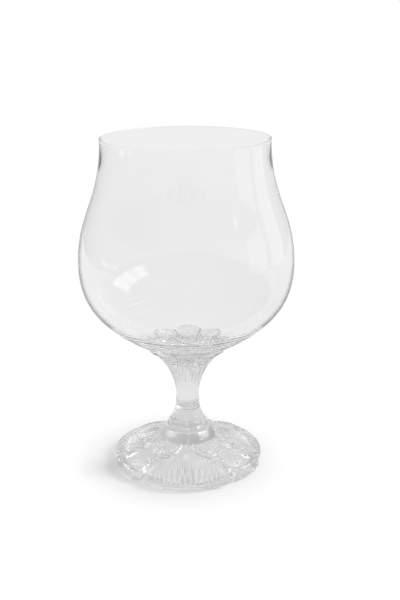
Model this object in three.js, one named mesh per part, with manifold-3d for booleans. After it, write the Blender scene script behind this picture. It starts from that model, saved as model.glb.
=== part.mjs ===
// Cognac snifter in clear crystal: a blown balloon bowl on a short pressed stem and a pressed rocaille foot.
// Millimetres, +Z up, the origin on the table under the glass's axis, the front of the glass towards -Y.
import * as THREE from "three";
import { mergeVertices } from "three/addons/utils/BufferGeometryUtils.js";
import Module from "manifold-3d";

// Heights above the table.
const TOTAL_HEIGHT = 140;
const BELLY_HEIGHT = 88.7;
const SEAT_HEIGHT = 46;
const SEAM_HEIGHT = 27;

// Bowl: the outside is two curves that meet at the belly, the inside follows them at the wall's thickness.
const RIM_RADIUS = 34.2;
const BELLY_RADIUS = 44.4;
const SEAT_RADIUS = 8;
const LIP_WALL = 0.6;
const BELLY_WALL = 1.3;
const FLOOR_WALL = 2;
const FLOOR_THICKNESS = 5.5;
const FLOOR_START = 0.28;
const BOWL_SIDES = 60;
const CURVE_STEPS = 7;

// Pull of the bowl's curve handles, as shares of the rise, drop or width that each curve spans.
const LIP_PULL = 0.48;
const SHOULDER_PULL = 0.42;
const BELLY_PULL = 0.567;
const UNDERSIDE_WIDTH_PULL = 0.495;
const UNDERSIDE_RISE_PULL = 0.33;

// Stem: a plain shaft that flares into a calyx of round petals, which cups the bowl's underside.
const SHAFT_RADIUS = 5;
const CALYX_RADIUS = 16.9;
const CALYX_PETALS = 6;
const PETAL_RADIUS = 7;
const PETAL_START = 0.5;
const CALYX_LIP = 0.9;
const GROOVES_PER_PETAL = 4;
const GROOVE_DEPTH = 0.45;
const GROOVE_START = 0.15;
const GROOVE_FULL = 0.7;
const CALYX_SIDES = 72;
const CALYX_RINGS = 10;
const WAIST_PULL = 0.78;
const FLARE_PULL = 0.55;
const FUSE_GAP = 0.3;

// Foot: a bell on a domed base with three fluted fans and three plain cartouches between them.
const BELL_RADIUS = 12;
const BELL_STEP = 0.5;
const BELL_SINK = 2;
const BELL_SIDES = 42;
const DOME_HEIGHT = 11;
const DOME_HOLLOW = 1.2;
const FOOT_RADIUS = 32;
const EDGE_HEIGHT = 4;
const EDGE_ROUND = 0.7;
const LOBE_NOTCH = 1.6;
const LOBE_FULLNESS = 7;
const REPEATS = 3;
const FAN_HALF_ANGLE = THREE.MathUtils.degToRad(39);
const FAN_FLUTES = 22;
const FLUTE_DEPTH = 0.35;
const FLUTE_START = 0.25;
const FLUTE_FULL = 0.4;
const RIB_HEIGHT = 0.6;
const RIB_FADE = 0.35;
const RIB_END = 0.8;
const CARTOUCHE_STEPS = 10;
const BORDER_ACROSS = 0.8;
const BORDER_MIDDLE = 0.64;
const BORDER_REACH = 0.32;
const BORDER_HEIGHT = 0.3;
const BORDER_WIDTH = 0.3;

// Underside: a round hollow inside a narrow ring that the glass stands on.
const REST_WIDTH = 2.4;
const HOLLOW_DEPTH = 10;
const HOLLOW_POWER = 1.4;
const HOLLOW_STEPS = 8;
const HOLLOW_SIDES = 48;

// Scrolls: a pair of C-scrolls flanks each fan, each one a spiral round its own volute.
const VOLUTE_DISTANCE = 15.7;
const VOLUTE_ANGLE = THREE.MathUtils.degToRad(49);
const SCROLL_REACH = 9.5;
const SCROLL_TIGHTNESS = 0.43;
const SCROLL_TURNS = 0.95;
const SCROLL_SWELL = 0.28;
const SWELL_TURN = THREE.MathUtils.degToRad(50);
const SWELL_WIDTH = THREE.MathUtils.degToRad(35);
const SCROLL_HALF_WIDTH = 1;
const SCROLL_RISE = 0.7;
const SCROLL_STEPS = 20;
const SCROLL_SIDES = 5;

// Joined facets smaller than this are merged.
const WELD = 0.01;

const wasm = await Module();
wasm.setup();

const sector = (2 * Math.PI) / REPEATS;

// A point at an angle measured from the front of the glass.
function around(angle, radius, height) {
  return new THREE.Vector3(radius * Math.sin(angle), -radius * Math.cos(angle), height);
}

// The angle from the nearest fan's middle line, from 0 there to half a sector at a cartouche's.
function fromFan(angle) {
  const turn = THREE.MathUtils.euclideanModulo(angle + sector / 2, sector);
  return Math.abs(turn - sector / 2);
}

// How far an angle lies across its lobe: 0 on the lobe's middle line, 1 at the notch beside it.
function acrossLobe(angle) {
  const offset = fromFan(angle);
  if (offset <= FAN_HALF_ANGLE) return offset / FAN_HALF_ANGLE;
  return (sector / 2 - offset) / (sector / 2 - FAN_HALF_ANGLE);
}

function isFan(angle) {
  return fromFan(angle) <= FAN_HALF_ANGLE + 1e-6;
}

// A lobed outline: full in the middle of each lobe and drawn in by the notch's depth at its ends.
function lobedRadius(radius, notch, angle) {
  return radius - notch * acrossLobe(angle) ** LOBE_FULLNESS;
}

// Angles once round: two per flute in the fans, so that each flute has a ridge and a valley.
function lobeAngles() {
  const angles = [];
  for (let index = 0; index < REPEATS; index += 1) {
    const middle = index * sector;
    for (let step = 0; step < 2 * FAN_FLUTES; step += 1) {
      angles.push(middle + FAN_HALF_ANGLE * (step / FAN_FLUTES - 1));
    }
    const plainWidth = sector - 2 * FAN_HALF_ANGLE;
    for (let step = 0; step < CARTOUCHE_STEPS; step += 1) {
      angles.push(middle + FAN_HALF_ANGLE + (plainWidth * step) / CARTOUCHE_STEPS);
    }
  }
  return angles;
}

// 1 on the ridges of a fan's flutes and 0 in their valleys.
function fluteRise(angle) {
  const turn = THREE.MathUtils.euclideanModulo(angle + sector / 2, sector) - sector / 2;
  const flute = ((turn / FAN_HALF_ANGLE + 1) * FAN_FLUTES) / 2;
  return 1 - Math.abs(2 * (flute - Math.floor(flute)) - 1);
}

// How far the calyx's rim is drawn in at an angle: nothing at a petal's tip, most between two round petals.
function petalNotch(angle) {
  const width = (2 * Math.PI) / CALYX_PETALS;
  const turn = THREE.MathUtils.euclideanModulo(angle + width / 2, width) - width / 2;
  const distance = CALYX_RADIUS - PETAL_RADIUS;
  const rim = distance * Math.cos(turn) + Math.sqrt(PETAL_RADIUS ** 2 - (distance * Math.sin(turn)) ** 2);
  return CALYX_RADIUS - rim;
}

// 1 in the grooves of the calyx, of which one runs down each petal and one between each two petals.
function calyxGroove(angle) {
  return Math.cos((CALYX_PETALS * GROOVES_PER_PETAL * angle) / 2) ** 2;
}

// A closed solid through a row of loops with equal numbers of points, with a flat or pointed cap at each end.
function loftSolid(rings, startPoint, endPoint) {
  const count = rings[0].length;
  const positions = [];
  for (const point of [...rings.flat(), startPoint, endPoint]) positions.push(point.x, point.y, point.z);
  const start = rings.length * count;
  const end = start + 1;
  const last = (rings.length - 1) * count;
  const triangles = [];
  for (let side = 0; side < count; side += 1) {
    const next = (side + 1) % count;
    for (let ring = 0; ring < rings.length - 1; ring += 1) {
      const low = ring * count;
      const high = low + count;
      triangles.push(low + side, low + next, high + next);
      triangles.push(low + side, high + next, high + side);
    }
    triangles.push(start, next, side);
    triangles.push(end, last + side, last + next);
  }
  const geometry = new THREE.BufferGeometry();
  geometry.setAttribute("position", new THREE.Float32BufferAttribute(positions, 3));
  geometry.setIndex(triangles);
  return geometry;
}

// A solid of revolution about +Z from a profile of radius and height.
function revolve(points, sides) {
  const geometry = new THREE.LatheGeometry(points, sides);
  geometry.rotateX(Math.PI / 2);
  return geometry;
}

function toManifold(geometry) {
  const bare = geometry.clone();
  bare.deleteAttribute("normal");
  bare.deleteAttribute("uv");
  const welded = mergeVertices(bare, 1e-4);
  const vertProperties = new Float32Array(welded.attributes.position.array);
  const triVerts = new Uint32Array(welded.index.array);
  return new wasm.Manifold(new wasm.Mesh({ numProp: 3, vertProperties, triVerts }));
}

function fromManifold(solid) {
  const mesh = solid.getMesh();
  const geometry = new THREE.BufferGeometry();
  geometry.setAttribute("position", new THREE.Float32BufferAttribute(mesh.vertProperties, 3));
  geometry.setIndex(Array.from(mesh.triVerts));
  return geometry;
}

// The bowl's outside, from the seat's edge up to the lip.
function bowlOutside() {
  const lowerDrop = BELLY_HEIGHT - SEAT_HEIGHT;
  const upperRise = TOTAL_HEIGHT - BELLY_HEIGHT;
  const lip = TOTAL_HEIGHT - LIP_WALL / 2;
  const path = new THREE.Path();
  path.moveTo(SEAT_RADIUS, SEAT_HEIGHT);
  path.bezierCurveTo(
    SEAT_RADIUS + UNDERSIDE_WIDTH_PULL * (BELLY_RADIUS - SEAT_RADIUS),
    SEAT_HEIGHT + UNDERSIDE_RISE_PULL * lowerDrop,
    BELLY_RADIUS, BELLY_HEIGHT - BELLY_PULL * lowerDrop,
    BELLY_RADIUS, BELLY_HEIGHT,
  );
  path.bezierCurveTo(
    BELLY_RADIUS, BELLY_HEIGHT + SHOULDER_PULL * upperRise,
    RIM_RADIUS, lip - LIP_PULL * upperRise,
    RIM_RADIUS, lip,
  );
  return path;
}

// The wall's thickness at a height: it grows from the lip to the belly and on towards the floor.
function wallAt(height) {
  const rise = (height - BELLY_HEIGHT) / (TOTAL_HEIGHT - BELLY_HEIGHT);
  const drop = (BELLY_HEIGHT - height) / (BELLY_HEIGHT - SEAT_HEIGHT);
  if (rise > 0) return THREE.MathUtils.lerp(BELLY_WALL, LIP_WALL, rise);
  return THREE.MathUtils.lerp(BELLY_WALL, FLOOR_WALL, drop);
}

// A point of the bowl's inside, square to the outside at the wall's thickness.
function insidePoint(curve, share) {
  const point = curve.getPoint(share);
  const tangent = curve.getTangent(share);
  const wall = wallAt(point.y);
  return new THREE.Vector2(point.x - wall * tangent.y, point.y + wall * tangent.x);
}

// The bowl's inside, from the lip down the wall to the floor's edge, then across the dished floor.
function bowlInside() {
  const [lower, upper] = bowlOutside().curves;
  const floor = SEAT_HEIGHT + FLOOR_THICKNESS;
  const points = [];
  for (let step = 0; step < CURVE_STEPS; step += 1) points.push(insidePoint(upper, 1 - step / CURVE_STEPS));
  for (let step = 0; step < CURVE_STEPS; step += 1) {
    points.push(insidePoint(lower, 1 - ((1 - FLOOR_START) * step) / CURVE_STEPS));
  }
  const edge = insidePoint(lower, FLOOR_START);
  const middle = new THREE.Vector2(0, floor);
  const dish = new THREE.QuadraticBezierCurve(edge, new THREE.Vector2(edge.x / 2, floor), middle);
  return [...points, ...dish.getPoints(CURVE_STEPS)];
}

function bowl() {
  const lip = new THREE.Path();
  lip.absarc(RIM_RADIUS - LIP_WALL / 2, TOTAL_HEIGHT - LIP_WALL / 2, LIP_WALL / 2, 0, Math.PI, false);
  const profile = [
    new THREE.Vector2(0, SEAT_HEIGHT),
    ...bowlOutside().getPoints(CURVE_STEPS),
    ...lip.getPoints(2).slice(1, -1),
    ...bowlInside(),
  ];
  return revolve(profile, BOWL_SIDES);
}

// The height of the bowl's outside at a radius between its seat and its belly.
function bowlHeightAt(radius) {
  const points = bowlOutside().curves[0].getPoints(200);
  const above = points.findIndex((point) => point.x >= radius);
  if (above <= 0) return SEAT_HEIGHT;
  const low = points[above - 1];
  const high = points[above];
  return low.y + ((high.y - low.y) * (radius - low.x)) / (high.x - low.x);
}

// The stem's plain outline, from its seam with the foot up to the calyx's rim.
function stemOutline(rimHeight) {
  const rise = rimHeight - SEAM_HEIGHT;
  const start = new THREE.Vector2(SHAFT_RADIUS, SEAM_HEIGHT);
  const waist = new THREE.Vector2(WAIST_PULL * SHAFT_RADIUS, SEAM_HEIGHT + 0.39 * rise);
  const flare = new THREE.Vector2(FLARE_PULL * CALYX_RADIUS, SEAM_HEIGHT + 0.82 * rise);
  const rim = new THREE.Vector2(CALYX_RADIUS, rimHeight);
  return new THREE.CubicBezierCurve(start, waist, flare, rim);
}

// The stem: grooved and notched more and more towards the calyx's rim, then cupped down to the bowl's seat.
function stem() {
  const angles = [];
  for (let side = 0; side < CALYX_SIDES; side += 1) angles.push((2 * Math.PI * side) / CALYX_SIDES);
  const rimHeight = bowlHeightAt(CALYX_RADIUS) - FUSE_GAP - CALYX_LIP;
  const outline = stemOutline(rimHeight);
  const rings = [];
  for (let step = 0; step <= CALYX_RINGS; step += 1) {
    const along = step / CALYX_RINGS;
    const plain = outline.getPoint(along);
    const petal = THREE.MathUtils.smoothstep(along, PETAL_START, 1);
    const depth = GROOVE_DEPTH * THREE.MathUtils.smoothstep(along, GROOVE_START, GROOVE_FULL);
    const ring = angles.map((angle) => {
      const cut = petal * petalNotch(angle) + depth * calyxGroove(angle);
      return around(angle, plain.x - cut, plain.y);
    });
    rings.push(ring);
  }
  for (const share of [1, 0.66, 0.33]) {
    const ring = angles.map((angle) => {
      const rim = CALYX_RADIUS - petalNotch(angle);
      const radius = SEAT_RADIUS + share * (rim - SEAT_RADIUS);
      return around(angle, radius, bowlHeightAt(radius) - FUSE_GAP);
    });
    rings.push(ring);
  }
  rings.push(angles.map((angle) => around(angle, SEAT_RADIUS, SEAT_HEIGHT - FUSE_GAP)));
  rings.push(angles.map((angle) => around(angle, SEAT_RADIUS - 2 * FUSE_GAP, SEAT_HEIGHT)));
  return loftSolid(rings, around(0, 0, SEAM_HEIGHT), around(0, 0, SEAT_HEIGHT));
}

// The height of the foot's domed top without its ornament; share runs from 0 at the bell to 1 at the edge.
function domeHeight(share) {
  return EDGE_HEIGHT + (DOME_HEIGHT - EDGE_HEIGHT) * (1 - share) ** DOME_HOLLOW;
}

// The ornament's rise over the dome: flutes and a middle rib in the fans, a raised oval in the cartouches.
function ornament(angle, share) {
  if (isFan(angle)) {
    const spread = THREE.MathUtils.smoothstep(share, FLUTE_START, FLUTE_FULL);
    const fluted = FLUTE_DEPTH * spread * (fluteRise(angle) - 1);
    const rib = RIB_HEIGHT * (1 - THREE.MathUtils.smoothstep(share, RIB_FADE, RIB_END));
    return fromFan(angle) < 1e-6 ? Math.max(fluted, rib - FLUTE_DEPTH * spread) : fluted;
  }
  const oval = Math.hypot(acrossLobe(angle) / BORDER_ACROSS, (share - BORDER_MIDDLE) / BORDER_REACH);
  return BORDER_HEIGHT * Math.max(0, 1 - Math.abs(oval - 1) / BORDER_WIDTH);
}

// The foot's base before it is hollowed: a flat underside, a rounded lobed edge and an ornamented domed top.
function footBase() {
  const angles = lobeAngles();
  const loop = (inset, height) =>
    angles.map((angle) => around(angle, lobedRadius(FOOT_RADIUS, LOBE_NOTCH, angle) - inset, height));
  const rings = [
    loop(EDGE_ROUND, 0),
    loop(0, EDGE_ROUND),
    loop(0, EDGE_HEIGHT - EDGE_ROUND - FLUTE_DEPTH),
  ];
  for (const share of [0.97, 0.9, 0.8, 0.68, 0.54, 0.38, 0.2, 0]) {
    const ring = angles.map((angle) => {
      const edge = lobedRadius(FOOT_RADIUS, LOBE_NOTCH, angle);
      const radius = BELL_RADIUS + share * (edge - BELL_RADIUS);
      return around(angle, radius, domeHeight(share) + ornament(angle, share));
    });
    rings.push(ring);
  }
  return loftSolid(rings, around(0, 0, 0), around(0, 0, DOME_HEIGHT));
}

// The hollow of the underside, from below the table plane up to its middle.
function hollow() {
  const restRadius = FOOT_RADIUS - LOBE_NOTCH - REST_WIDTH;
  const points = [new THREE.Vector2(0, -1), new THREE.Vector2(restRadius, -1)];
  for (let step = HOLLOW_STEPS; step >= 0; step -= 1) {
    const share = step / HOLLOW_STEPS;
    points.push(new THREE.Vector2(share * restRadius, HOLLOW_DEPTH * (1 - share ** HOLLOW_POWER)));
  }
  return revolve(points, HOLLOW_SIDES);
}

// The bell that rises from the base to the seam with the stem; its lower end is sunk in the dome.
function bell() {
  const rise = SEAM_HEIGHT - DOME_HEIGHT;
  const path = new THREE.Path();
  path.moveTo(0, DOME_HEIGHT - BELL_SINK);
  path.lineTo(BELL_RADIUS - BELL_SINK / 3, DOME_HEIGHT - BELL_SINK);
  path.lineTo(BELL_RADIUS, DOME_HEIGHT + BELL_STEP);
  path.bezierCurveTo(
    BELL_RADIUS - 0.26 * (BELL_RADIUS - SHAFT_RADIUS), DOME_HEIGHT + 0.28 * rise,
    SHAFT_RADIUS, DOME_HEIGHT + 0.56 * rise,
    SHAFT_RADIUS, SEAM_HEIGHT,
  );
  path.lineTo(0, SEAM_HEIGHT);
  return revolve(path.getPoints(CURVE_STEPS), BELL_SIDES);
}

// One C-scroll: a tapered band with a rounded top that winds over the dome to its volute; side is 1 or -1.
function scroll(fanAngle, side) {
  const centre = around(fanAngle + side * VOLUTE_ANGLE, VOLUTE_DISTANCE, 0);
  const line = [];
  for (let step = 0; step <= SCROLL_STEPS; step += 1) {
    const turn = (step / SCROLL_STEPS) * SCROLL_TURNS * 2 * Math.PI;
    const swell = 1 + SCROLL_SWELL * Math.exp(-(((turn - SWELL_TURN) / SWELL_WIDTH) ** 2));
    const reach = SCROLL_REACH * Math.exp(-SCROLL_TIGHTNESS * turn) * swell;
    const bearing = fanAngle + side * (turn - Math.PI / 2);
    const point = around(bearing, reach, 0).add(centre);
    const edge = lobedRadius(FOOT_RADIUS, LOBE_NOTCH, Math.atan2(point.x, -point.y));
    const share = (Math.hypot(point.x, point.y) - BELL_RADIUS) / (edge - BELL_RADIUS);
    point.z = domeHeight(Math.max(0, share));
    line.push(point);
  }
  const path = new THREE.CatmullRomCurve3(line);
  const rings = line.slice(1, -1).map((point, index) => {
    const along = (index + 1) / SCROLL_STEPS;
    const taper = 0.45 + 0.55 * Math.sin(Math.PI * along);
    const tangent = path.getTangent(along);
    const across = new THREE.Vector3(-tangent.y, tangent.x, 0).normalize();
    const up = new THREE.Vector3().crossVectors(tangent, across);
    const ring = [];
    for (let corner = 0; corner < SCROLL_SIDES; corner += 1) {
      const angle = (corner / SCROLL_SIDES) * 2 * Math.PI;
      ring.push(point.clone()
        .addScaledVector(across, SCROLL_HALF_WIDTH * taper * Math.cos(angle))
        .addScaledVector(up, SCROLL_RISE * taper * Math.sin(angle)));
    }
    return ring;
  });
  return loftSolid(rings, line[0], line[SCROLL_STEPS]);
}

function foot() {
  let solid = toManifold(footBase()).add(toManifold(bell()));
  for (let index = 0; index < REPEATS; index += 1) {
    solid = solid.add(toManifold(scroll(index * sector, 1)));
    solid = solid.add(toManifold(scroll(index * sector, -1)));
  }
  solid = solid.subtract(toManifold(hollow()));
  return fromManifold(solid.simplify(WELD));
}

function crystal(colour, roughness) {
  return new THREE.MeshStandardMaterial({
    color: colour,
    roughness,
    metalness: 0,
    transparent: true,
    opacity: 0.45,
  });
}

function piece(name, geometry, material) {
  const mesh = new THREE.Mesh(geometry, material);
  mesh.name = name;
  return mesh;
}

const snifter = new THREE.Group();
snifter.name = "cognac_snifter";
snifter.add(piece("bowl", bowl(), crystal(0xeef1f1, 0.03)));
snifter.add(piece("stem", stem(), crystal(0xe3e7e8, 0.06)));
snifter.add(piece("foot", foot(), crystal(0xdfe4e5, 0.08)));

export default snifter;
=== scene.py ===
"""Cognac snifter in clear crystal: a blown bowl, a pressed calyx stem and a pressed rocaille foot."""
import math

import bpy
import numpy as np
from mathutils import Matrix, Vector


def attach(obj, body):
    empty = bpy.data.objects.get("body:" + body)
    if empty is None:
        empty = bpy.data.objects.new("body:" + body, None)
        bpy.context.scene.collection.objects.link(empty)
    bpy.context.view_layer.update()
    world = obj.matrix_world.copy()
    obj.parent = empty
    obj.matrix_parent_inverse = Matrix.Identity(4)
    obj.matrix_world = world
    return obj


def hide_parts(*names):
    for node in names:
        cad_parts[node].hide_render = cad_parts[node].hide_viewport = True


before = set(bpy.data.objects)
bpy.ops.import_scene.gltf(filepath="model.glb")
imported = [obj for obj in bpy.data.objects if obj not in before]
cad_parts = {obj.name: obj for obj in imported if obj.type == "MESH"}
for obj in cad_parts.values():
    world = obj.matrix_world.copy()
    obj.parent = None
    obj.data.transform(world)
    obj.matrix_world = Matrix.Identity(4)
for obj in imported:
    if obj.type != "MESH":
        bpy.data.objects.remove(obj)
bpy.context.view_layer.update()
scene = bpy.context.scene
scene.view_settings.view_transform = "Standard"
scene.cycles.max_bounces = 32
scene.cycles.transmission_bounces = 28
scene.cycles.glossy_bounces = 12
scene.cycles.transparent_max_bounces = 32
scene.cycles.caustics_reflective = False
scene.cycles.caustics_refractive = False

MM = 0.001
AXIS_FOOT = (0, 0, 0)

# The camera, fitted to the ellipses of the rim, the belly and the foot. Angles are in degrees; ORBIT is
# how far the viewpoint stands to the right of the front fan's middle line.
ORBIT = 2.0
PICTURE_HEIGHT = 600
FOCAL_LENGTH_PIXELS = 952.1
SENSOR_WIDTH = 24
SENSOR_HEIGHT = 36
CAMERA_PLACE = (0, -0.3787, 0.1946)
CAMERA_YAW = -0.84
CAMERA_DOWN = 17.92
CAMERA_ROLL = -0.25

# Levels of the set, where 1 is white. WHITE_LEVEL is the paper to the camera, GLASS_WHITE and TABLE_FRONT
# are the paper and the front of the table in the glass, and PAPER_LEVEL is what the lamps give the paper.
# ROOM_LEVEL is the room in the glass; ROOM_FRONT and ROOM_LEFT are its shares in front and on the left.
# THROUGH_LEVEL is the low room and the front of the table for light that has gone through the glass, and
# FILL_LEVEL is the plain light of the room.
WHITE_LEVEL = 1.02
GLASS_WHITE = 0.872
PAPER_LEVEL = 0.77
TABLE_FRONT = 0.5
ROOM_LEVEL = 0.55
ROOM_FRONT = 0.9
ROOM_LEFT = 0.5
THROUGH_LEVEL = 0.85
FILL_LEVEL = 0.3
PAPER_COLOUR = 0.8

# Painted light on the paper for what the foot gathers there: its level, its share past the edge (painted
# shade), and its lines.
GATHERED_LIGHT = 0.215
EDGE_LIGHT = -0.6
COARSE_LINES = 7
COARSE_STRENGTH = 0.35
FINE_STRENGTH = 0.2
COARSE_TO_FINE = (16 * MM, 24 * MM)
GATHERED_EDGE = (0.026, 0.034)

# Where the set changes: in metres the lit paper's radius and fade and the table towards the front, and by
# the parts of a direction the room.
LIT_RADIUS = 0.034
LIT_FADE = 0.02
TABLE_DIMS = (-0.05, -0.2)
ROOM_FRONT_DIMS = (-0.25, -0.9)
ROOM_LEFT_DIMS = (-0.2, -0.8)
THROUGH_ENDS = (0.1, 0.35)
PANE_DISTANCE = 0.9

# The glass's shader, and the turns of light inside it after which it is let out, as it would leave
# further on.
GLASS_IOR = 1.52
SMUDGE_SCALE = 90
SMUDGE_DETAIL = 3
SMUDGE_RANGE = (0.45, 0.75)
WAVE_HEIGHT = 0.001
WAVE_DETAIL = 2
TRAPPED_DEPTH = 14.0

# Sizes of the glass in millimetres. They are the CAD model's, apart from LIP_WALL, SKIN_GAP, LOBE_NOTCH,
# RIB_WIDTH and SCROLL_HEIGHT, which are set for the look; NECK_WALL is the CAD model's wall at the lip.
TOTAL_HEIGHT = 140.0
BELLY_HEIGHT = 88.7
SEAT_HEIGHT = 46.0
SEAM_HEIGHT = 27.0
RIM_RADIUS = 34.2
BELLY_RADIUS = 44.4
SEAT_RADIUS = 8.0
LIP_WALL = 0.25
NECK_WALL = 0.6
BELLY_WALL = 1.3
FLOOR_WALL = 2.0
FLOOR_THICKNESS = 5.5
FLOOR_START = 0.28
SHAFT_RADIUS = 5.0
CALYX_RADIUS = 16.9
CALYX_PETALS = 6
PETAL_RADIUS = 7.0
PETAL_START = 0.5
CALYX_LIP = 0.9
SKIN_GAP = 0.05
GROOVES_PER_PETAL = 4
GROOVE_DEPTH = 0.45
BELL_RADIUS = 12.0
BELL_STEP = 0.5
DOME_HEIGHT = 11.0
DOME_HOLLOW = 1.2
FOOT_RADIUS = 32.0
EDGE_HEIGHT = 4.0
EDGE_ROUND = 0.7
LOBE_NOTCH = 2.4
LOBE_FULLNESS = 7.0
FAN_HALF = math.radians(39)
SECTOR = math.radians(120)
FAN_FLUTES = 22
FLUTE_DEPTH = 0.35
FLUTE_RANGE = (0.25, 0.4)
RIB_HEIGHT = 0.6
RIB_WIDTH = 0.7
RIB_FADE = (0.35, 0.8)
REST_WIDTH = 2.4
HOLLOW_DEPTH = 10.0
HOLLOW_POWER = 1.4
VOLUTE_DISTANCE = 15.7
VOLUTE_ANGLE = math.radians(49)
SCROLL_REACH = 9.5
SCROLL_TIGHTNESS = 0.43
SCROLL_TURNS = 0.95
SCROLL_SWELL = 0.28
SWELL_TURN = math.radians(50)
SWELL_WIDTH = math.radians(35)
SCROLL_RADIUS = 1.0
SCROLL_HEIGHT = 1.0
SCROLL_END = 0.45

# How far the handles of the outline's curves pull.
LIP_PULL = 0.48
SHOULDER_PULL = 0.42
BELLY_PULL = 0.567
UNDERSIDE_WIDTH_PULL = 0.495
UNDERSIDE_RISE_PULL = 0.33
WAIST_PULL = 0.78
WAIST_RISE_PULL = 0.39
FLARE_PULL = 0.55
FLARE_RISE_PULL = 0.82
BELL_WIDTH_PULL = 0.26
BELL_RISE_PULL = 0.28
BELL_NECK_PULL = 0.56

# Fine relief, in millimetres, most of it only here. A pair is where a form starts and is full, or fades and
# ends: as radii for the ripple, and as a share of the way for the rest.
LIP_THINS = (0.75, 1.0)
MEETING_STEP = 0.5
MEETING_RADIUS = 23.5
RIPPLE_DEPTH = 0.08
RIPPLE_START = (18.0, 21.0)
RIPPLE_END = (31.0, 36.0)
RIPPLE_WAVES = ((2.9, 1.0, 0.0), (4.7, 0.4, 1.0))
LEAF_TIP = 0.24
LEAF_STAGGER = 0.06
LEAF_STEEPNESS = 0.08
LEAF_SHARE = 0.6
LEAF_DEEPENS = (0.3, 0.7)
REED_ROUNDNESS = 0.5
SCROLL_SPREAD = 1.35
SCROLL_SOFTNESS = 1.5
LINE_END = 0.4
OVAL_PLACE = 0.96
OVAL_LENGTH = 0.4
OVAL_RANGE = (0.3, 0.6)
BEAD_RADIUS = 0.7
BEAD_HEIGHT = 0.4
NOTCH_GROOVE = 1.4
NOTCH_WIDTH = 0.7
NOTCH_RANGE = (0.6, 0.95)
STIPPLE_DEPTH = 0.22
LOBE_STIPPLE = 0.1
BELL_RING_DEPTH = 0.15
BELL_RING_PITCH = 2.2
BELL_RING_START = (0.02, 0.1)
BELL_RING_END = (0.7, 0.95)
BELL_RIB_FADE = (0.3, 0.75)
CAP_SHARE = 0.12
CAP_RADIUS = 0.5
TOP_INSET = 0.97
REST_SHARES = (0.3, 0.65)


def smoothstep(value, low, high):
    share = np.clip((value - low) / (high - low), 0, 1)
    return share * share * (3 - 2 * share)


def bezier(points, count, start=0.0, end=1.0):
    """Points and unit tangents of a cubic curve between two of its parameters."""
    p = np.array(points, float)
    u = np.linspace(start, end, count)[:, None]
    place = (1 - u) ** 3 * p[0] + 3 * u * (1 - u) ** 2 * p[1] + 3 * u * u * (1 - u) * p[2] + u ** 3 * p[3]
    slope = 3 * ((1 - u) ** 2 * (p[1] - p[0]) + 2 * u * (1 - u) * (p[2] - p[1]) + u * u * (p[3] - p[2]))
    return place, slope / np.linalg.norm(slope, axis=1, keepdims=True)


def full_turn(count):
    return np.linspace(0, 2 * math.pi, count, endpoint=False)


def bowl_curves():
    """The bowl's outside as a lower and an upper curve of radius and height."""
    drop = BELLY_HEIGHT - SEAT_HEIGHT
    rise = TOTAL_HEIGHT - BELLY_HEIGHT
    lip = TOTAL_HEIGHT - LIP_WALL / 2
    width = BELLY_RADIUS - SEAT_RADIUS
    lower = [
        (SEAT_RADIUS, SEAT_HEIGHT),
        (SEAT_RADIUS + UNDERSIDE_WIDTH_PULL * width, SEAT_HEIGHT + UNDERSIDE_RISE_PULL * drop),
        (BELLY_RADIUS, BELLY_HEIGHT - BELLY_PULL * drop),
        (BELLY_RADIUS, BELLY_HEIGHT),
    ]
    upper = [
        (BELLY_RADIUS, BELLY_HEIGHT),
        (BELLY_RADIUS, BELLY_HEIGHT + SHOULDER_PULL * rise),
        (RIM_RADIUS, lip - LIP_PULL * rise),
        (RIM_RADIUS, lip),
    ]
    return lower, upper


LOWER, UPPER = bowl_curves()
UNDERSIDE = bezier(LOWER, count=400)[0]


def underside_height(radius):
    return np.interp(radius, UNDERSIDE[:, 0], UNDERSIDE[:, 1])


def wall_at(height):
    rise = (height - BELLY_HEIGHT) / (TOTAL_HEIGHT - BELLY_HEIGHT)
    drop = (BELLY_HEIGHT - height) / (BELLY_HEIGHT - SEAT_HEIGHT)
    up = BELLY_WALL + (NECK_WALL - BELLY_WALL) * rise
    up = up - (NECK_WALL - LIP_WALL) * smoothstep(rise, *LIP_THINS)
    down = BELLY_WALL + (FLOOR_WALL - BELLY_WALL) * drop
    return np.where(rise > 0, up, down)


def inside(curve, count, start, end):
    """The bowl's inside, square to an outside curve at the wall's thickness."""
    place, slope = bezier(curve, count, start, end)
    wall = wall_at(place[:, 1])
    return np.stack([place[:, 0] - wall * slope[:, 1], place[:, 1] + wall * slope[:, 0]], axis=1)


def from_fan(angle):
    """Angle from the nearest fan's middle line, with its sign."""
    return (angle + SECTOR / 2) % SECTOR - SECTOR / 2


def across_lobe(angle):
    """How far an angle lies from the middle of its fan or plain lobe, where 1 is the notch."""
    offset = np.abs(from_fan(angle))
    return np.where(offset <= FAN_HALF, offset / FAN_HALF, (SECTOR / 2 - offset) / (SECTOR / 2 - FAN_HALF))


def lobed(radius, notch, angle):
    return radius - notch * across_lobe(angle) ** LOBE_FULLNESS


def petals(angle):
    """How far the calyx's rim is drawn in: nothing at a petal's tip, most between two round petals."""
    width = 2 * math.pi / CALYX_PETALS
    turn = (angle + width / 2) % width - width / 2
    distance = CALYX_RADIUS - PETAL_RADIUS
    reach = np.sqrt(PETAL_RADIUS ** 2 - (distance * np.sin(turn)) ** 2)
    return PETAL_RADIUS + distance * (1 - np.cos(turn)) - reach


def ring(angle, radius, height):
    """One loop of points, at angles measured from the front of the glass."""
    flat = np.ones_like(angle)
    return np.stack([radius * np.sin(angle), -radius * np.cos(angle), height * flat], axis=1)


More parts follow.
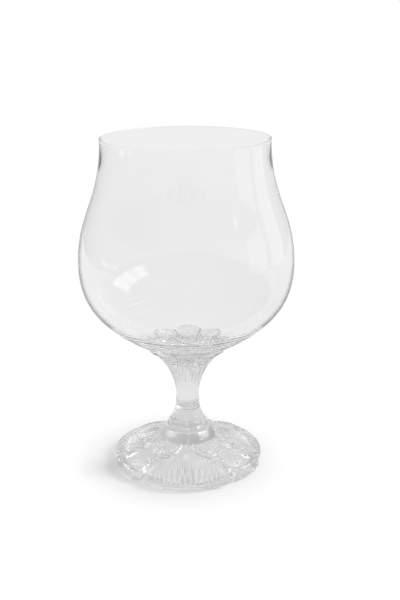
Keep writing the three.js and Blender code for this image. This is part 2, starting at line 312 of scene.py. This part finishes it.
def skin(name, rings, seam_first=False, seam_last=False, sharp_rows=()):
    """A closed mesh through a stack of loops; the first and the last loop close on a middle point.

    seam_first and seam_last give that cap the second material. sharp_rows are the loops that keep a hard
    edge.
    """
    count = len(rings[0])
    rows = len(rings)
    points = np.concatenate([*rings, rings[0].mean(axis=0)[None], rings[-1].mean(axis=0)[None]]) * MM
    side = np.arange(count)
    after = (side + 1) % count
    quads = []
    for row in range(rows - 1):
        low = row * count
        quads.append(np.stack([low + side, low + after, low + count + after, low + count + side], axis=1))
    quads = np.concatenate(quads)
    first = np.stack([np.full(count, rows * count), after, side], axis=1)
    top = (rows - 1) * count
    last = np.stack([np.full(count, rows * count + 1), top + side, top + after], axis=1)
    corners = np.concatenate([quads.ravel(), first.ravel(), last.ravel()]).astype(np.int32)
    sizes = np.concatenate([np.full(len(quads), 4), np.full(2 * count, 3)]).astype(np.int32)
    starts = np.concatenate([[0], np.cumsum(sizes)[:-1]]).astype(np.int32)
    slots = np.zeros(len(sizes), np.int32)
    slots[len(quads):len(quads) + count] = seam_first
    slots[len(quads) + count:] = seam_last
    mesh = bpy.data.meshes.new(name)
    mesh.vertices.add(len(points))
    mesh.vertices.foreach_set("co", points.astype(np.float32).ravel())
    mesh.loops.add(len(corners))
    mesh.loops.foreach_set("vertex_index", corners)
    mesh.polygons.add(len(sizes))
    mesh.polygons.foreach_set("loop_start", starts)
    mesh.polygons.foreach_set("loop_total", sizes)
    mesh.polygons.foreach_set("material_index", slots)
    mesh.polygons.foreach_set("use_smooth", np.ones(len(sizes), bool))
    mesh.update(calc_edges=True)
    mesh.validate()
    if sharp_rows:
        edges = np.zeros(len(mesh.edges) * 2, np.int32)
        mesh.edges.foreach_get("vertices", edges)
        edges = edges.reshape(-1, 2)
        hard = np.zeros(len(edges), bool)
        for row in sharp_rows:
            low, high = row * count, (row + 1) * count
            hard |= ((edges >= low) & (edges < high)).all(axis=1)
        mesh.edges.foreach_set("use_edge_sharp", hard)
    piece = bpy.data.objects.new(name, mesh)
    scene.collection.objects.link(piece)
    return piece


def ripple(radius):
    """Faint rings left by the shaping of the bowl's underside."""
    reach = smoothstep(radius, *RIPPLE_START) * (1 - smoothstep(radius, *RIPPLE_END))
    waves = sum(strength * math.sin(pace * radius + start) for pace, strength, start in RIPPLE_WAVES)
    return RIPPLE_DEPTH * reach * waves


def make_bowl(turns=288, seat_loops=10, wall_loops=90, base_loops=70, lip_loops=13, floor_loops=26):
    angle = full_turn(turns)
    edge = CALYX_RADIUS - petals(angle)
    rings = []
    for share in np.linspace(CAP_SHARE, 1, seat_loops):
        rings.append(ring(angle, share * edge, underside_height(share * edge)))
    underside = UNDERSIDE[UNDERSIDE[:, 0] > CALYX_RADIUS + MEETING_STEP][::2]
    for radius, height in np.concatenate([underside, bezier(UPPER, wall_loops)[0][1:]]):
        spread = smoothstep(radius, CALYX_RADIUS, MEETING_RADIUS) if height < BELLY_HEIGHT else 1.0
        near = radius - (1 - spread) * (CALYX_RADIUS - edge) + ripple(radius)
        rings.append(ring(angle, near, underside_height(near) if spread < 1 else height))
    half = LIP_WALL / 2
    for step in np.linspace(0, math.pi, lip_loops)[1:-1]:
        rings.append(ring(angle, RIM_RADIUS - half + half * math.cos(step),
                          TOTAL_HEIGHT - half + half * math.sin(step)))
    wall = np.concatenate([inside(UPPER, wall_loops, 1, 0)[:-1], inside(LOWER, base_loops, 1, FLOOR_START)])
    for radius, height in wall:
        rings.append(ring(angle, radius, height))
    edge_radius, edge_height = wall[-1]
    floor = SEAT_HEIGHT + FLOOR_THICKNESS
    for share in np.linspace(0, 1, floor_loops)[1:-1]:
        rings.append(ring(angle, (1 - share) * edge_radius, floor + (1 - share) ** 2 * (edge_height - floor)))
    return skin("bowl_glass", rings)


def make_stem(turns=720, steps=220, lip_loops=8, top_loops=10):
    angle = full_turn(turns)
    rim_height = underside_height(CALYX_RADIUS) - CALYX_LIP
    rise = rim_height - SEAM_HEIGHT
    outline = bezier([
        (SHAFT_RADIUS, SEAM_HEIGHT),
        (WAIST_PULL * SHAFT_RADIUS, SEAM_HEIGHT + WAIST_RISE_PULL * rise),
        (FLARE_PULL * CALYX_RADIUS, SEAM_HEIGHT + FLARE_RISE_PULL * rise),
        (CALYX_RADIUS, rim_height),
    ], steps)[0]
    groove = GROOVE_DEPTH * np.cos(CALYX_PETALS * GROOVES_PER_PETAL / 2 * angle) ** 2
    tip = LEAF_TIP + LEAF_STAGGER * np.abs(np.sin(CALYX_PETALS * angle))
    rings = []
    for index, (radius, height) in enumerate(outline):
        along = index / (steps - 1)
        notch = petals(angle) * smoothstep(along, PETAL_START, 1.0)
        leaf = LEAF_SHARE * smoothstep(along, tip, tip + LEAF_STEEPNESS)
        leaf += (1 - LEAF_SHARE) * smoothstep(along, *LEAF_DEEPENS)
        rings.append(ring(angle, radius - notch - groove * leaf, height))
    edge = CALYX_RADIUS - petals(angle)
    top = underside_height(edge) - SKIN_GAP
    for step in np.linspace(0, math.pi / 2, lip_loops)[1:]:
        height = rim_height + (top - rim_height) * math.sin(step)
        rings.append(ring(angle, edge - groove * math.cos(step), height))
    brim = len(rings) - 1
    for share in np.linspace(1, CAP_SHARE, top_loops)[1:]:
        rings.append(ring(angle, share * edge, underside_height(share * edge) - SKIN_GAP))
    return skin("stem_glass", rings, seam_first=True, sharp_rows=[0, brim])


def scroll_line(steps=160):
    """One scroll's middle line in plan and its half width, on the positive side of a fan's middle line."""
    along = np.linspace(0, 1, steps)
    turn = along * SCROLL_TURNS * 2 * math.pi
    swell = 1 + SCROLL_SWELL * np.exp(-((turn - SWELL_TURN) / SWELL_WIDTH) ** 2)
    reach = SCROLL_REACH * np.exp(-SCROLL_TIGHTNESS * turn) * swell
    bearing = turn - math.pi / 2
    x = VOLUTE_DISTANCE * math.sin(VOLUTE_ANGLE) + reach * np.sin(bearing)
    y = -VOLUTE_DISTANCE * math.cos(VOLUTE_ANGLE) - reach * np.cos(bearing)
    width = SCROLL_RADIUS * (SCROLL_END + (1 - SCROLL_END) * np.sin(math.pi * along))
    return np.stack([x, y], axis=1), width


def drawn_line(corners, width, steps=60):
    """A smooth thin line in plan, bent by four corners, with its half width, thin at both ends."""
    along = np.linspace(0, 1, steps)
    return bezier(corners, steps)[0], width * (LINE_END + (1 - LINE_END) * np.sin(math.pi * along))


# The raised lines beside each fan: middle line in plan, half width and rise over that width.
BANDS = [
    (*scroll_line(), SCROLL_HEIGHT / SCROLL_RADIUS),
    (*drawn_line([(3.6, -12.0), (6.2, -14.6), (9.6, -15.0), (10.9, -12.0)], 0.6), 0.8),
    (*drawn_line([(8.0, -17.6), (15.5, -15.0), (20.0, -16.0), (18.8, -22.5)], 0.45), 0.6),
]

# The beads beside each fan: angle from the fan's middle line in degrees, and distance from the axis.
BEADS = ((41, 17.9), (42.6, 23.6), (52.6, 27.1))

# The oval lines on the plain lobes: size as a share of the lobe, height and softness.
OVALS = ((0.38, 0.1, 0.14), (0.6, 0.16, 0.1), (0.8, 0.3, 0.09), (1.0, 0.22, 0.07))

# Waves that make up the grain of the foot's wall: waves round the foot, turn with height, and start.
GRAIN = ((97, 5.1, 0.0), (151, -7.3, 0.8), (211, 9.0, 0.0))


def scroll_rise(angle, radius):
    """How far the scrolls and their thin companion lines stand over the dome."""
    folded = np.abs(from_fan(angle))
    x = radius * np.sin(folded)
    y = -radius * np.cos(folded)
    best = np.zeros_like(radius)
    for line, widths, steepness in BANDS:
        for (px, py), width in zip(line, widths):
            gap = ((x - px) ** 2 + (y - py) ** 2) / (SCROLL_SPREAD * width) ** 2
            best = np.maximum(best, steepness * width * np.maximum(0, 1 - gap) ** SCROLL_SOFTNESS)
    return best


def middle_rib(angle, radius):
    """The rib that runs down each fan's middle line."""
    return RIB_HEIGHT * np.exp(-(radius * np.sin(from_fan(angle)) / RIB_WIDTH) ** 2)


def ornament(angle, share, radius):
    """The relief over the dome, at a share of the way from the bell to the edge."""
    offset = from_fan(angle)
    spread = smoothstep(share, *FLUTE_RANGE)
    flute = (offset / FAN_HALF + 1) * FAN_FLUTES / 2
    reed = np.abs(np.sin(math.pi * flute)) ** REED_ROUNDNESS
    rib = middle_rib(angle, radius) * (1 - smoothstep(share, *RIB_FADE))
    fluted = np.maximum(FLUTE_DEPTH * spread * (reed - 1), rib - FLUTE_DEPTH * spread)
    across = across_lobe(angle)
    plain = np.zeros_like(across)
    for size, height, width in OVALS:
        length = OVAL_LENGTH * size
        oval = np.hypot(across / size, (share - OVAL_PLACE + length) / length)
        plain += height * smoothstep(share, *OVAL_RANGE) * np.exp(-((oval - 1) / width) ** 2)
    for turn, distance in BEADS:
        gap = np.abs(offset) - math.radians(turn)
        gap = np.hypot(radius * np.sin(gap), radius * np.cos(gap) - distance)
        plain += BEAD_HEIGHT * np.sqrt(np.maximum(0, 1 - (gap / BEAD_RADIUS) ** 2))
    ground = np.where(np.abs(offset) <= FAN_HALF, fluted, plain)
    gap = radius * np.sin(np.abs(offset) - FAN_HALF)
    ground = ground - NOTCH_GROOVE * np.exp(-(gap / NOTCH_WIDTH) ** 2) * smoothstep(share, *NOTCH_RANGE)
    scrolls = scroll_rise(angle, radius)
    return np.where(scrolls > 0, np.maximum(ground, scrolls), ground)


def stipple(angle, share, height):
    """Fine grain of the mould on the foot's outer wall."""
    first, second, third = (np.sin(count * angle + twist * height + start) for count, twist, start in GRAIN)
    grain = np.clip(first * second + third, -1, 1)
    place = np.where(np.abs(from_fan(angle)) < FAN_HALF, 1.0, LOBE_STIPPLE)
    return STIPPLE_DEPTH * place * math.sin(math.pi * share) * (0.5 + 0.5 * grain)


def dome_height(share):
    return EDGE_HEIGHT + (DOME_HEIGHT - EDGE_HEIGHT) * (1 - share) ** DOME_HOLLOW


def make_foot(turns=1296, hollow_loops=60, round_loops=7, wall_loops=14, dome_loops=170, bell_loops=60):
    angle = full_turn(turns)
    edge = lobed(FOOT_RADIUS, LOBE_NOTCH, angle)
    rest = FOOT_RADIUS - LOBE_NOTCH - REST_WIDTH
    rings = []
    for radius in np.linspace(CAP_RADIUS, rest, hollow_loops):
        rings.append(ring(angle, radius, HOLLOW_DEPTH * (1 - (radius / rest) ** HOLLOW_POWER)))
    for share in REST_SHARES:
        rings.append(ring(angle, rest + share * (edge - EDGE_ROUND - rest), 0.0))
    corner = np.linspace(0, math.pi / 2, round_loops)
    for step in corner:
        rings.append(ring(angle, edge - EDGE_ROUND * (1 - math.sin(step)), EDGE_ROUND * (1 - math.cos(step))))
    wall_top = EDGE_HEIGHT - EDGE_ROUND - FLUTE_DEPTH
    for share in np.linspace(0, 1, wall_loops)[1:]:
        height = EDGE_ROUND + share * (wall_top - EDGE_ROUND)
        rings.append(ring(angle, edge - stipple(angle, share, height), height))
    top_radius = BELL_RADIUS + TOP_INSET * (edge - BELL_RADIUS)
    top = dome_height(TOP_INSET) + ornament(angle, TOP_INSET, top_radius)
    for step in corner[1:]:
        rings.append(ring(angle, top_radius + (edge - top_radius) * math.cos(step),
                          wall_top + (top - wall_top) * math.sin(step)))
    for share in np.linspace(TOP_INSET, 0.0, dome_loops)[1:]:
        radius = BELL_RADIUS + share * (edge - BELL_RADIUS)
        rings.append(ring(angle, radius, dome_height(share) + ornament(angle, share, radius)))
    rise = SEAM_HEIGHT - DOME_HEIGHT
    bell = bezier([
        (BELL_RADIUS, DOME_HEIGHT + BELL_STEP),
        (BELL_RADIUS - BELL_WIDTH_PULL * (BELL_RADIUS - SHAFT_RADIUS), DOME_HEIGHT + BELL_RISE_PULL * rise),
        (SHAFT_RADIUS, DOME_HEIGHT + BELL_NECK_PULL * rise),
        (SHAFT_RADIUS, SEAM_HEIGHT),
    ], bell_loops)[0]
    for radius, height in bell:
        climb = (height - DOME_HEIGHT) / rise
        rib = middle_rib(angle, radius) * (1 - smoothstep(climb, *BELL_RIB_FADE))
        wave = BELL_RING_DEPTH * abs(math.sin(math.pi * (height - DOME_HEIGHT) / BELL_RING_PITCH))
        wave *= smoothstep(climb, *BELL_RING_START) * (1 - smoothstep(climb, *BELL_RING_END))
        rings.append(ring(angle, radius + rib + wave, height))
    return skin("foot_glass", rings, seam_last=True, sharp_rows=[len(rings) - 1])


class Graph:
    """Short ways to add nodes to a material or a world; a value is a number or an output socket."""

    def __init__(self, owner):
        owner.use_nodes = True
        self.nodes = owner.node_tree.nodes
        self.links = owner.node_tree.links

    def put(self, value, socket):
        if isinstance(value, (int, float)):
            socket.default_value = value
        else:
            self.links.new(value, socket)

    def maths(self, operation, first, second=0.0, clamp=False):
        node = self.nodes.new("ShaderNodeMath")
        node.operation = operation
        node.use_clamp = clamp
        self.put(first, node.inputs[0])
        self.put(second, node.inputs[1])
        return node.outputs["Value"]

    def ramp(self, value, low, high, start=0.0, end=1.0, smooth=True):
        """Runs from start to end while the value runs from low to high."""
        node = self.nodes.new("ShaderNodeMapRange")
        if smooth:
            node.interpolation_type = "SMOOTHSTEP"
        for name, setting in (("From Min", low), ("From Max", high), ("To Min", start), ("To Max", end)):
            self.put(setting, node.inputs[name])
        self.put(value, node.inputs["Value"])
        return node.outputs["Result"]

    def mix(self, factor, first, second):
        node = self.nodes.new("ShaderNodeMix")
        for name, setting in (("Factor", factor), ("A", first), ("B", second)):
            self.put(setting, node.inputs[name])
        return node.outputs["Result"]

    def mix_shader(self, factor, first, second):
        node = self.nodes.new("ShaderNodeMixShader")
        self.put(factor, node.inputs["Fac"])
        self.links.new(first, node.inputs[1])
        self.links.new(second, node.inputs[2])
        return node.outputs["Shader"]

    def noise(self, place, scale, detail):
        node = self.nodes.new("ShaderNodeTexNoise")
        node.inputs["Scale"].default_value = scale
        node.inputs["Detail"].default_value = detail
        self.links.new(place, node.inputs["Vector"])
        return node.outputs["Fac"]

    def emission(self, strength):
        node = self.nodes.new("ShaderNodeEmission")
        self.links.new(strength, node.inputs["Strength"])
        return node.outputs["Emission"]

    def split(self, vector):
        node = self.nodes.new("ShaderNodeSeparateXYZ")
        self.links.new(vector, node.inputs["Vector"])
        return node.outputs

    def show(self, shader):
        self.links.new(shader, self.nodes["Material Output"].inputs["Surface"])


def glass_material(name, tint, wave_scale, wave_strength, wall_shade, flat_shade, clean, worn):
    """Clear crystal with faint waves and a little wear; it lets lamps through, so that shadows stay light.

    wall_shade and flat_shade are the shares of a lamp's light that go through upright and level faces;
    clean and worn are the least and the greatest roughness.
    """
    material = bpy.data.materials.new(name)
    graph = Graph(material)
    nodes, links = graph.nodes, graph.links
    shader = nodes["Principled BSDF"]
    shader.inputs["Base Color"].default_value = (tint, tint, tint, 1)
    shader.inputs["Transmission Weight"].default_value = 1.0
    shader.inputs["IOR"].default_value = GLASS_IOR
    place = nodes.new("ShaderNodeTexCoord").outputs["Object"]
    smudge = graph.noise(place, SMUDGE_SCALE, SMUDGE_DETAIL)
    links.new(graph.ramp(smudge, *SMUDGE_RANGE, clean, worn, smooth=False), shader.inputs["Roughness"])
    bump = nodes.new("ShaderNodeBump")
    bump.inputs["Strength"].default_value = wave_strength
    bump.inputs["Distance"].default_value = WAVE_HEIGHT
    links.new(graph.noise(place, wave_scale, WAVE_DETAIL), bump.inputs["Height"])
    links.new(bump.outputs["Normal"], shader.inputs["Normal"])
    through = nodes.new("ShaderNodeBsdfTransparent")
    facing = graph.split(nodes.new("ShaderNodeNewGeometry").outputs["Normal"])
    level_face = graph.maths("ABSOLUTE", facing["Z"])
    links.new(graph.ramp(level_face, 0.0, 1.0, wall_shade, flat_shade, smooth=False), through.inputs["Color"])
    path = nodes.new("ShaderNodeLightPath").outputs
    clear = nodes.new("ShaderNodeBsdfTransparent")
    deep = graph.maths("GREATER_THAN", path["Ray Depth"], TRAPPED_DEPTH)
    trapped = graph.mix_shader(deep, shader.outputs["BSDF"], clear.outputs["BSDF"])
    graph.show(graph.mix_shader(path["Is Shadow Ray"], trapped, through.outputs["BSDF"]))
    return material


def seam_material():
    """The fused seams, where one gather runs into the next and no surface shows."""
    material = bpy.data.materials.new("fused_seam")
    graph = Graph(material)
    graph.nodes.remove(graph.nodes["Principled BSDF"])
    graph.show(graph.nodes.new("ShaderNodeBsdfTransparent").outputs["BSDF"])
    return material


def gathered_lines(graph, place):
    """Painted lines of light and shade on the paper where the reeds of the fans would gather light, brighter
    and darker than the rest.
    """
    turn = graph.maths("ARCTAN2", place["X"], graph.maths("MULTIPLY", place["Y"], -1.0))
    turn = graph.maths("FLOORED_MODULO", graph.maths("ADD", turn, SECTOR / 2), SECTOR)
    turn = graph.maths("SUBTRACT", turn, SECTOR / 2)
    squares = [graph.maths("POWER", place[axis], 2.0) for axis in "XY"]
    outer = graph.ramp(graph.maths("SQRT", graph.maths("ADD", *squares)), *COARSE_TO_FINE)
    inner = graph.maths("SUBTRACT", 1.0, outer)
    waves = []
    for share, count, strength in (
        (inner, COARSE_LINES, COARSE_STRENGTH),
        (outer, FAN_FLUTES, FINE_STRENGTH),
    ):
        phase = graph.maths("MULTIPLY", turn, math.pi * count / FAN_HALF)
        wave = graph.maths("MULTIPLY", graph.maths("COSINE", phase), strength)
        waves.append(graph.maths("MULTIPLY", wave, share))
    fan = graph.maths("LESS_THAN", graph.maths("ABSOLUTE", turn), FAN_HALF)
    return graph.maths("MULTIPLY", graph.maths("ADD", *waves), fan)


def stage_material():
    """White paper: it takes the light and the shadow near the glass and is plain white further out."""
    material = bpy.data.materials.new("white_paper")
    graph = Graph(material)
    nodes, links = graph.nodes, graph.links
    nodes.remove(nodes["Principled BSDF"])
    path = nodes.new("ShaderNodeLightPath").outputs
    camera, transmitted = path["Is Camera Ray"], path["Is Transmission Ray"]
    paper = nodes.new("ShaderNodeBsdfDiffuse")
    paper.inputs["Color"].default_value = (PAPER_COLOUR, PAPER_COLOUR, PAPER_COLOUR, 1)
    position = nodes.new("ShaderNodeNewGeometry").outputs["Position"]
    place = graph.split(position)
    # Painted shade: for rays from the glass the paper darkens towards the front to TABLE_FRONT, less for
    # light that has gone through the glass.
    pale = graph.maths("MULTIPLY", transmitted, THROUGH_LEVEL - TABLE_FRONT)
    front = graph.ramp(place["Y"], *TABLE_DIMS, GLASS_WHITE, graph.maths("ADD", pale, TABLE_FRONT))
    level = graph.mix(camera, front, WHITE_LEVEL)
    length = nodes.new("ShaderNodeVectorMath")
    length.operation = "LENGTH"
    links.new(position, length.inputs[0])
    radius = length.outputs["Value"]
    # Painted light and painted lines under the foot for rays from the glass, turning into a painted darker
    # ring past the foot's edge.
    light = graph.maths("ADD", gathered_lines(graph, place), GATHERED_LIGHT)
    light = graph.maths("MULTIPLY", light, graph.ramp(radius, *GATHERED_EDGE, 1.0, EDGE_LIGHT))
    raised = graph.maths("SUBTRACT", level, PAPER_LEVEL)
    lift = graph.emission(graph.maths("ADD", raised, graph.mix(camera, light, 0.0)))
    near = nodes.new("ShaderNodeAddShader")
    links.new(paper.outputs["BSDF"], near.inputs[0])
    links.new(lift, near.inputs[1])
    far = graph.ramp(radius, LIT_RADIUS, LIT_RADIUS + LIT_FADE)
    blend = graph.mix_shader(far, near.outputs["Shader"], graph.emission(level))
    seen = graph.maths("ADD", camera, path["Is Glossy Ray"])
    seen = graph.maths("ADD", seen, transmitted, clamp=True)
    graph.show(graph.mix_shader(seen, paper.outputs["BSDF"], blend))
    return material


def make_stage(half=0.55, front=-1.6, back=1.3, top=0.9, bend=0.5, bend_loops=13, sunk=0.0001):
    """A sheet of white paper that runs back from the table and up behind the glass."""
    line = [(front, 0.0), (-0.6, 0.0), (0.0, 0.0), (0.6, 0.0)]
    for step in np.linspace(0, math.pi / 2, bend_loops):
        line.append((back - bend + bend * math.sin(step), bend - bend * math.cos(step)))
    line.append((back, top))
    points = []
    for y, z in line:
        points += [(-half, y, z - sunk), (half, y, z - sunk)]
    faces = [(2 * i, 2 * i + 1, 2 * i + 3, 2 * i + 2) for i in range(len(line) - 1)]
    mesh = bpy.data.meshes.new("backdrop")
    mesh.from_pydata(points, [], faces)
    for face in mesh.polygons:
        face.use_smooth = True
    sheet = bpy.data.objects.new("backdrop", mesh)
    scene.collection.objects.link(sheet)
    mesh.materials.append(stage_material())


def make_world():
    """A pale room: white to the camera, plain for the light, with dimmer sides that show in the glass."""
    world = bpy.data.worlds.new("studio")
    scene.world = world
    graph = Graph(world)
    side = graph.split(graph.nodes.new("ShaderNodeTexCoord").outputs["Generated"])
    path = graph.nodes.new("ShaderNodeLightPath").outputs
    transmitted = path["Is Transmission Ray"]
    front = graph.ramp(side["Y"], *ROOM_FRONT_DIMS, 1.0, ROOM_FRONT)
    left = graph.ramp(side["X"], *ROOM_LEFT_DIMS, 1.0, ROOM_LEFT)
    level = graph.maths("MULTIPLY", graph.maths("MULTIPLY", front, left), ROOM_LEVEL)
    pale = graph.maths("MULTIPLY", graph.ramp(side["Z"], *THROUGH_ENDS, THROUGH_LEVEL, 0.0), transmitted)
    level = graph.maths("MAXIMUM", level, pale)
    seen = graph.maths("ADD", path["Is Glossy Ray"], transmitted, clamp=True)
    level = graph.mix(path["Is Camera Ray"], graph.mix(seen, FILL_LEVEL, level), 1.0)
    room = graph.nodes["Background"]
    room.inputs["Color"].default_value = (1, 1, 1, 1)
    graph.links.new(level, room.inputs["Strength"])


def softbox(name, place, target, width, height, level, in_glass=True, through=True, only=None):
    """A flat lamp with an even face; level is its brightness, where 1 is white.

    in_glass shows it in the glass, through also shows it to light that has gone through the glass, and
    only is the collection of what it lights.
    """
    lamp = bpy.data.lights.new(name, "AREA")
    lamp.shape = "RECTANGLE"
    lamp.size = width
    lamp.size_y = height
    lamp.energy = level * math.pi * width * height
    holder = bpy.data.objects.new(name, lamp)
    holder.location = place
    holder.rotation_euler = (Vector(target) - Vector(place)).to_track_quat("-Z", "Y").to_euler()
    if only:
        holder.light_linking.receiver_collection = only
    holder.visible_glossy = in_glass
    holder.visible_transmission = in_glass and through
    scene.collection.objects.link(holder)


def window_pane(name, bearing, spread, low, high, level, through=True):
    """A tall pane of light round the glass; its bearing runs from the camera's side towards the right."""
    turn = math.radians(bearing + ORBIT)
    middle = (low + high) / 2
    place = (PANE_DISTANCE * math.sin(turn), -PANE_DISTANCE * math.cos(turn), middle)
    width = 2 * PANE_DISTANCE * math.tan(math.radians(spread) / 2)
    softbox(name, place, (0, 0, middle), width, high - low, level, through=through)


def make_lamps(foot):
    """A key lamp, a window and two walls on the right, a sill on the left, and lamps for the foot alone."""
    relief = bpy.data.collections.new("foot_relief")
    relief.objects.link(foot)
    for name, place, size, level in (
        ("sheen_left", (-0.72, 0.19, 0.67), 0.4, 7),
        ("sheen_right", (0.72, 0.19, 0.67), 0.4, 4),
        ("sheen_bell", (0.68, -0.17, 0.71), 0.26, 9),
    ):
        softbox(name, place, AXIS_FOOT, width=size, height=size, level=level, only=relief)
    softbox("key_right", (0.8, 0.25, 0.62), AXIS_FOOT, width=0.3, height=0.3, level=35, in_glass=False)
    for index in range(3):
        name = f"window_right_{index}"
        window_pane(name, bearing=66 + 19.5 * index, spread=17.5, low=0.44, high=0.88, level=1.6)
    for name, bearing, spread, low, high, level in (
        ("wall_right", 78, 24, -0.05, 0.34, 0.62),
        ("wall_behind_right", 108, 23, -0.05, 0.34, 0.66),
        ("sill_left", -90, 8, 0.001, 0.045, 1.2),
        ("sill_front_left", -76, 6, 0.001, 0.045, 1.2),
    ):
        window_pane(name, bearing, spread, low, high, level, through=False)


def make_camera():
    lens = bpy.data.cameras.new("camera")
    lens.sensor_fit = "VERTICAL"
    lens.sensor_height = SENSOR_HEIGHT
    lens.sensor_width = SENSOR_WIDTH
    lens.lens = FOCAL_LENGTH_PIXELS / PICTURE_HEIGHT * SENSOR_HEIGHT
    lens.clip_start = 0.01
    camera = bpy.data.objects.new("camera", lens)
    orbit = Matrix.Rotation(math.radians(ORBIT), 4, "Z")
    yaw = Matrix.Rotation(math.radians(CAMERA_YAW), 4, "Z")
    pitch = Matrix.Rotation(math.radians(90 - CAMERA_DOWN), 4, "X")
    roll = Matrix.Rotation(math.radians(CAMERA_ROLL), 4, "Z")
    camera.matrix_world = orbit @ Matrix.Translation(CAMERA_PLACE) @ yaw @ pitch @ roll
    scene.collection.objects.link(camera)
    scene.camera = camera


make_camera()
bowl = make_bowl()
stem = make_stem()
foot = make_foot()
blown = glass_material(
    "blown_crystal", tint=0.998, wave_scale=14, wave_strength=0.06,
    wall_shade=0.98, flat_shade=0.98, clean=0.0, worn=0.03,
)
pressed = glass_material(
    "pressed_crystal", tint=0.905, wave_scale=260, wave_strength=0.05,
    wall_shade=0.7, flat_shade=1.0, clean=0.14, worn=0.19,
)
seam = seam_material()
for piece, node, slot, materials in (
    (bowl, "bowl", "blown_crystal", [blown]),
    (stem, "stem", "pressed_crystal", [pressed, seam]),
    (foot, "foot", "pressed_crystal", [pressed, seam]),
):
    for material in materials:
        piece.data.materials.append(material)
    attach(piece, "root")
    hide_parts(node)

make_stage()
make_world()
make_lamps(foot)
